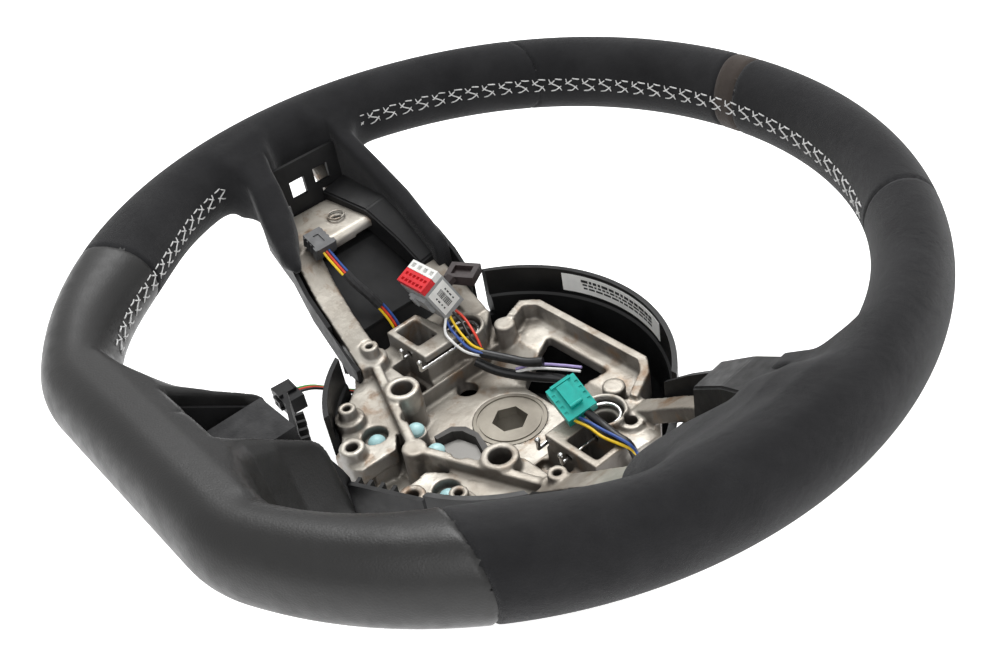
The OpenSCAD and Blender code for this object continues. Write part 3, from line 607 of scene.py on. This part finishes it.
def cover_net():
    """Vertices and quads of the whole covers' skin."""
    n = np.ceil((GRID_HIGH - GRID_LOW) / STEP).astype(int) + 1
    xs, ys, zs = (GRID_LOW[i] + STEP * np.arange(n[i]) for i in range(3))
    field = np.empty(tuple(n), np.float32)
    for k, z in enumerate(zs):
        x, y = np.meshgrid(xs, ys, indexing="ij")
        field[:, :, k] = cover_field(x, y, np.full_like(x, z))
    verts, quads = surface_net(field, GRID_LOW, STEP)
    for _ in range(2):  # settle every vertex on the true surface
        x, y, z = verts.T
        f = cover_field(x, y, z)
        slope = cover_slope(x, y, z)
        move = f[:, None] * slope / np.maximum((slope ** 2).sum(1), 0.2)[:, None]
        verts = verts - np.clip(move, -0.6, 0.6)
    return verts, quads


RIGHT_SEAM, LEFT_SEAM = -42, 135
# a slanted seam's turn in degrees: over the rim's half width, and at its centre line
SLANT = {RIGHT_SEAM: (-2.6, 0.0), LEFT_SEAM: (-4.7, 2.8)}
# each cover runs from its own seam, at this angle, to the next one's
COVERS = [("cover_right", RIGHT_SEAM, SUEDE, "suede", "cover_suede_right"),
          ("cover_top_right", 45, SUEDE, "suede", "cover_suede_top_right"),
          ("band_marker", 88, BAND, "marker_suede", "marker_band"),
          ("cover_top_left", 92, SUEDE, "suede", "cover_suede_top_left"),
          ("cover_left", LEFT_SEAM, SUEDE, "suede", "cover_suede_left"),
          ("cover_lower", 222, LEATHER, "leather", "cover_leather_lower")]
WIDEST_COVER = 150
PULL = 0.55  # vertices this near a seam, in steps of the grid, move onto it
SEAM_DEPTH, SEAM_WIDTH = 0.9, 0.9
RIDGE, RIDGE_AT, RIDGE_WIDTH = 0.18, 3, 1.8  # the low swelling beside a seam


def seam_distance(x, y, seam):
    """Distance along the rim, in millimetres, from a point to the seam at that angle."""
    slant, shift = SLANT.get(seam, (0.0, 0.0))
    a = wrapped(rim_angle(x, y) - seam) + rim_offset(x, y) / RIM_A * slant + shift
    return np.radians(a) * np.hypot(x, y - RIM_CY)


def build_covers():
    verts, quads = cover_net()
    x, y, z = verts.T
    centre = verts[quads].mean(1)
    seams = [cover[1] for cover in COVERS]
    signed = {s: seam_distance(centre[:, 0], centre[:, 1], s) for s in seams}
    near = {s: seam_distance(x, y, s) for s in seams}
    # pull the vertices that lie close to a seam onto it, then sink them a little
    for d in near.values():
        close = np.abs(d) < STEP * PULL
        along = np.stack([-(y - RIM_CY), x, 0 * x], 1)
        along /= np.linalg.norm(along, axis=1)[:, None]
        verts[close] -= along[close] * d[close][:, None]
    x, y, z = verts.T
    slope = cover_slope(x, y, z)
    slope /= np.maximum(np.linalg.norm(slope, axis=1), 1e-6)[:, None]
    sink = np.zeros(len(verts))
    for s in seams:
        d = np.abs(seam_distance(x, y, s))
        groove = SEAM_DEPTH * np.exp(-(d / SEAM_WIDTH) ** 2)
        sink = np.maximum(sink, groove - RIDGE * np.exp(-((d - RIDGE_AT) / RIDGE_WIDTH) ** 2))
    verts = verts - slope * sink[:, None]
    angle = rim_angle(centre[:, 0], centre[:, 1])
    for (name, start, material, slot, node), end in zip(COVERS, seams[1:] + seams[:1]):
        middle = start + (end - start) % 360 / 2
        between = (signed[start] >= 0) & (signed[end] < 0)
        chosen = quads[between & (np.abs(wrapped(angle - middle)) < WIDEST_COVER / 2)]
        used, index = np.unique(chosen, return_inverse=True)
        obj = made(name, verts[used], index.reshape(-1, 4).tolist(), material)
        wheel_piece(obj, slot, node)


build_covers()
dress("rim_foam", FOAM)

# ---------------------------------------------------------------- stitching


THREAD_R = 0.34


def tube_mesh(paths, radius, sides=6):
    """Round threads along several lines, in one mesh."""
    verts, faces = [], []
    for path in paths:
        p = np.array(path, float)
        base = len(verts)
        for i in range(len(p)):
            t = p[min(i + 1, len(p) - 1)] - p[max(i - 1, 0)]
            t /= np.linalg.norm(t)
            side = np.cross(t, (0, 0, 1) if abs(t[2]) < 0.9 else (1, 0, 0))
            side /= np.linalg.norm(side)
            lift = np.cross(side, t)
            thick = radius * (0.75 if i in (0, len(p) - 1) else 1.0)
            for k in range(sides):
                a = 2 * math.pi * k / sides
                verts.append(p[i] + thick * (math.cos(a) * side + math.sin(a) * lift))
        for i in range(len(p) - 1):
            for k in range(sides):
                a, b = base + i * sides + k, base + i * sides + (k + 1) % sides
                faces.append((a, b, b + sides, a + sides))
        faces.append(tuple(base + k for k in range(sides))[::-1])
        faces.append(tuple(base + (len(p) - 1) * sides + k for k in range(sides)))
    return verts, faces


def inner_point(angle, h, lift):
    """A point on the inner side of the rim: its angle, its height along the skin, and its lift off it."""
    t = h / RIM_B
    wide = RIM_A + float(swell(angle))
    u = -wide * math.cos(t)
    v = RIM_B * math.sin(t)
    n = Vector((u / wide ** 2, v / RIM_B ** 2)).normalized()
    u, v = u + n.x * lift, v + n.y * lift
    a = math.radians(angle)
    return ((RIM_R + u) * math.cos(a), RIM_CY + (RIM_R + u) * math.sin(a), RIM_Z + v)


def stitches(a0, a1, pitch=9.0, tall=3.5):
    """Cross stitching between two rim angles."""
    rnd = random.Random(7)
    inner = RIM_R - RIM_A
    count = int(abs(math.radians(a1 - a0)) * inner / pitch)
    step = (a1 - a0) / count
    paths = []

    def run(i, pts):
        """Adds a thread through points given in (share of the pitch, share of the height, lift)."""
        jog = [(rnd.uniform(-0.03, 0.03), rnd.uniform(-0.12, 0.12)) for _ in pts]
        line = [inner_point(a0 + step * (i + u + j[0]), h * tall + j[1], lift)
                for (u, h, lift), j in zip(pts, jog)]
        paths.append(spline(line, 7)[0])

    for i in range(count):
        run(i, [(0.30, 1.0, 0.05), (0.5, 0.97, 0.5), (0.72, 0.9, 0.05)])
        run(i, [(-0.06, 0.98, 0.05), (0.02, 0.42, 0.45), (0.27, 0.08, 0.5), (0.5, -0.25, 0.5),
                (0.62, -0.86, 0.05)])
        run(i, [(0.27, 0.78, 0.05), (0.03, 0.36, 0.6), (-0.1, 0.2, 0.15)])
        run(i, [(0.6, -0.1, 0.1), (0.48, -0.3, 0.65), (0.26, -0.78, 0.4), (-0.02, -0.95, 0.05)])
    return paths


def build_stitching():
    paths = stitches(165, 46) + stitches(195, 243) + stitches(-63, -20)
    verts, faces = tube_mesh(paths, THREAD_R)
    obj = made("stitching", verts, faces, THREAD)
    wheel_piece(obj, "thread", "seam_thread")


build_stitching()

# ---------------------------------------------------------------- casting


def softened(name, source, voxel, rounds):
    """A finely remeshed and softened copy of a CAD node."""
    obj = bpy.data.objects.new(name, source.data.copy())
    SCENE.collection.objects.link(obj)
    remesh = obj.modifiers.new("remesh", "REMESH")
    remesh.mode = "VOXEL"
    remesh.voxel_size = voxel * MM
    remesh.use_smooth_shade = True
    smooth = obj.modifiers.new("smooth", "SMOOTH")
    smooth.factor = 0.5
    smooth.iterations = rounds
    applied = bpy.data.meshes.new_from_object(obj.evaluated_get(bpy.context.evaluated_depsgraph_get()))
    obj.modifiers.clear()
    obj.data = applied
    return obj


casting = softened("casting", NODES["armature"], 0.8, 3)
casting.data.materials.clear()
casting.data.materials.append(CAST)
wheel_piece(casting, "cast_alloy", "armature")

# raised ring round the hole of the left arm's cross plate
HOLE_X, HOLE_Y, PLATE_TOP, RING_R = -130, 6, 64.2, 4.4
ring = [(HOLE_X + RING_R * math.cos(a), HOLE_Y + RING_R * math.sin(a), PLATE_TOP)
        for a in np.linspace(0, 2 * math.pi, 33)]
wheel_piece(made("plate_ring", *tube_mesh([ring], 0.5, 8), CAST), "cast_alloy")

# ---------------------------------------------------------------- generic marks on the labels


INK_LIFT = 0.04  # half of a mark's thickness


def slab_marks(node, local, body):
    """Bars on a flat label: thin blocks half sunk in its outer face."""
    back = local.turned.inverted()

    def spots(name):
        obj = NODES[name]
        return np.array([back @ (obj.matrix_world @ v.co / MM - local.at) for v in obj.data.vertices])

    label = spots(node)
    low, high = label.min(0), label.max(0)
    middle = (low + high) / 2
    across = int(np.argmin(high - low))
    wide = int(np.argmax(high - low))
    tall = 3 - across - wide
    outer = high[across] if middle[across] > spots(body).mean(0)[across] else low[across]
    out = INK_LIFT if outer == high[across] else -INK_LIFT
    rnd = random.Random(5)
    marks = []  # each in shares of the label's width, then of its height
    at = 0.16
    while at < 0.82:
        step = rnd.choice((0.016, 0.026, 0.036))
        marks.append((at, at + step, 0.36, 0.66))
        at += step + rnd.choice((0.016, 0.024))
    for row in (0.2, 0.8):
        marks += [(0.2 + 0.15 * i, 0.2 + 0.15 * i + rnd.uniform(0.06, 0.11), row - 0.035, row + 0.035)
                  for i in range(4)]
    verts, faces = [], []
    for a0, a1, b0, b1 in marks:
        base = len(verts)
        for level in (outer - out, outer + out):
            for a, b in ((a0, b0), (a1, b0), (a1, b1), (a0, b1)):
                p = [0.0, 0.0, 0.0]
                p[across] = level
                p[wide] = low[wide] + a * (high[wide] - low[wide])
                p[tall] = low[tall] + b * (high[tall] - low[tall])
                verts.append(local(*p))
        faces += [tuple(base + i for i in f) for f in
                  ((3, 2, 1, 0), (4, 5, 6, 7), (0, 1, 5, 4), (1, 2, 6, 5), (2, 3, 7, 6), (3, 0, 4, 7))]
    return verts, faces


def arc_marks(node):
    """Dashes on the curved label inside the rear cover."""
    p = np.array([NODES[node].matrix_world @ v.co / MM for v in NODES[node].data.vertices])
    reach, turn_at = np.hypot(p[:, 0], p[:, 1]), np.arctan2(p[:, 1], p[:, 0])
    r, low, high = reach.min() - INK_LIFT / 2, p[:, 2].min(), p[:, 2].max()
    start, end = turn_at.min(), turn_at.max()
    rnd = random.Random(11)
    steps = 4
    verts, faces = [], []
    for row, thick in ((0.74, 0.075), (0.54, 0.05), (0.34, 0.05)):
        at = start + 0.12 * (end - start)
        while at < start + 0.8 * (end - start):
            long = rnd.uniform(1.2, 4.5) / r
            base = len(verts)
            for i in range(steps + 1):
                a = at + long * i / steps
                for level, side in ((1, -1), (1, 1), (-1, 1), (-1, -1)):
                    reach = r + level * INK_LIFT
                    verts.append((reach * math.cos(a), reach * math.sin(a),
                                  low + (row + side * thick) * (high - low)))
            faces += [tuple(base + 4 * i + n for n in (k, (k + 1) % 4, (k + 1) % 4 + 4, k + 4))
                      for i in range(steps) for k in range(4)]
            end_ring = base + 4 * steps
            faces += [(base + 3, base + 2, base + 1, base),
                      (end_ring, end_ring + 1, end_ring + 2, end_ring + 3)]
            at += long + 0.8 / r
    return verts, faces


for name, marks in (("plug_label_marks", slab_marks("airbag_plug_label", AIR, "airbag_plug_body")),
                    ("cover_label_marks", arc_marks("rear_cover_label"))):
    wheel_piece(made(name, *marks, INK, smooth=False), "label")

# ---------------------------------------------------------------- side spoke carriers with their hoods


HOOD_BEVEL = 0.9


def hood(stations, mirrored):
    """A closed block skinned over cross-sections (x, y0, y1, top at y0, top at y1, bottom)."""
    verts, faces = [], []
    sign = -1 if mirrored else 1
    for x, y0, y1, top0, top1, low in stations:
        verts += [(sign * x, y0, low), (sign * x, y1, low), (sign * x, y1, top1), (sign * x, y0, top0)]
    for i in range(len(stations) - 1):
        for k in range(4):
            a, b = 4 * i + k, 4 * i + (k + 1) % 4
            faces.append((a, b, b + 4, a + 4))
    last = 4 * (len(stations) - 1)
    faces += [(3, 2, 1, 0), (last, last + 1, last + 2, last + 3)]
    return verts, faces


def carrier(name, source, blocks, mirrored):
    """The CAD carrier with its hoods, in one mesh."""
    net = bmesh.new()
    for stations in blocks:
        verts, faces = hood(stations, mirrored)
        made_verts = [net.verts.new(tuple(c * MM for c in v)) for v in verts]
        for face in faces:
            net.faces.new([made_verts[i] for i in face])
    bmesh.ops.recalc_face_normals(net, faces=net.faces)
    bmesh.ops.bevel(net, geom=net.edges[:], offset=HOOD_BEVEL * MM, segments=3, affect="EDGES")
    net.from_mesh(source.data)
    mesh = bpy.data.meshes.new(name)
    net.to_mesh(mesh)
    net.free()
    mesh.materials.append(CARRIER)
    obj = bpy.data.objects.new(name, mesh)
    SCENE.collection.objects.link(obj)
    return obj


HOOD_LEFT = [(86, 23, 36, 42, 44, 34), (100, 21, 37, 53, 55, 40), (118, 17, 36, 66, 68, 52),
             (150, 12, 30, 69, 73, 55)]
END_WALL_LEFT = [(84, -36, 37, 25.5, 25.5, 6), (86.5, -36, 37, 26.5, 26.5, 6)]
HOOD_RIGHT = [(100, 19, 37, 62, 64, 44), (118, 15, 36, 75, 77, 52), (142, 8, 33, 88, 91, 60)]
for side, blocks, mirrored in (("left", (HOOD_LEFT, END_WALL_LEFT), True), ("right", (HOOD_RIGHT,), False)):
    node = "spoke_carrier_" + side
    wheel_piece(carrier("carrier_" + side, NODES[node], blocks, mirrored), "carrier_plastic", node)

# ---------------------------------------------------------------- CAD nodes that keep their shape

for node, material in (
        ("hub_insert", INSERT), ("rear_cover", BLACK_GLOSSY), ("rear_cover_label", PAPER),
        ("rear_cover_screws", SCREW), ("lock_spring_left", SPRING), ("lock_spring_right", SPRING),
        ("spoke_carrier_lower", CARRIER), ("spoke_pad_lower", FOAM), ("hub_grommets", CYAN),
        ("damper_plate", PLATE), ("damper_strap", RUBBER), ("airbag_plug_body", GREY),
        ("airbag_plug_lock", RED), ("airbag_plug_cap", WHITE), ("airbag_plug_label", PAPER),
        ("harness_clip", CLIP), ("teal_plug_body", TEAL), ("teal_plug_latch", TEAL),
        ("switch_plug_body", CHARCOAL), ("heater_plug_body", BLACK), ("heater_plug_latch", BLACK)):
    dress(node, material)

# ---------------------------------------------------------------- floor and light


FLOOR_Z = -41.0


def stage_floor():
    s = Shader("floor_white", Roughness=0.9, Specular_IOR_Level=0.1)
    s.bsdf.inputs["Emission Color"].default_value = (1, 1, 1, 1)
    s.bsdf.inputs["Emission Strength"].default_value = 0.55
    tone = s.colour(s.noise(3, 2), (0.93, 0.93, 0.93), (0.95, 0.95, 0.95))
    material = s.done(tone)
    half, low = 3000, FLOOR_Z
    floor = made("floor", [(-half, -half, low), (half, -half, low), (half, half, low), (-half, half, low)],
                 [(0, 1, 2, 3)], material)


def soft_light(name, at, size, power):
    data = bpy.data.lights.new(name, "AREA")
    data.energy = power
    data.size = size
    light = bpy.data.objects.new(name, data)
    light.location = at
    light.rotation_euler = (-Vector(at)).to_track_quat("-Z", "Y").to_euler()
    SCENE.collection.objects.link(light)


stage_floor()
world = bpy.data.worlds.new("studio")
world.use_nodes = True
world.node_tree.nodes["Background"].inputs["Color"].default_value = (1, 1, 1, 1)
world.node_tree.nodes["Background"].inputs["Strength"].default_value = 0.85
SCENE.world = world
soft_light("key", (-0.5, 0.5, 1.3), 0.9, 16)
soft_light("fill", (1.0, -0.7, 1.0), 1.0, 7)
SCENE.view_settings.view_transform = "Standard"
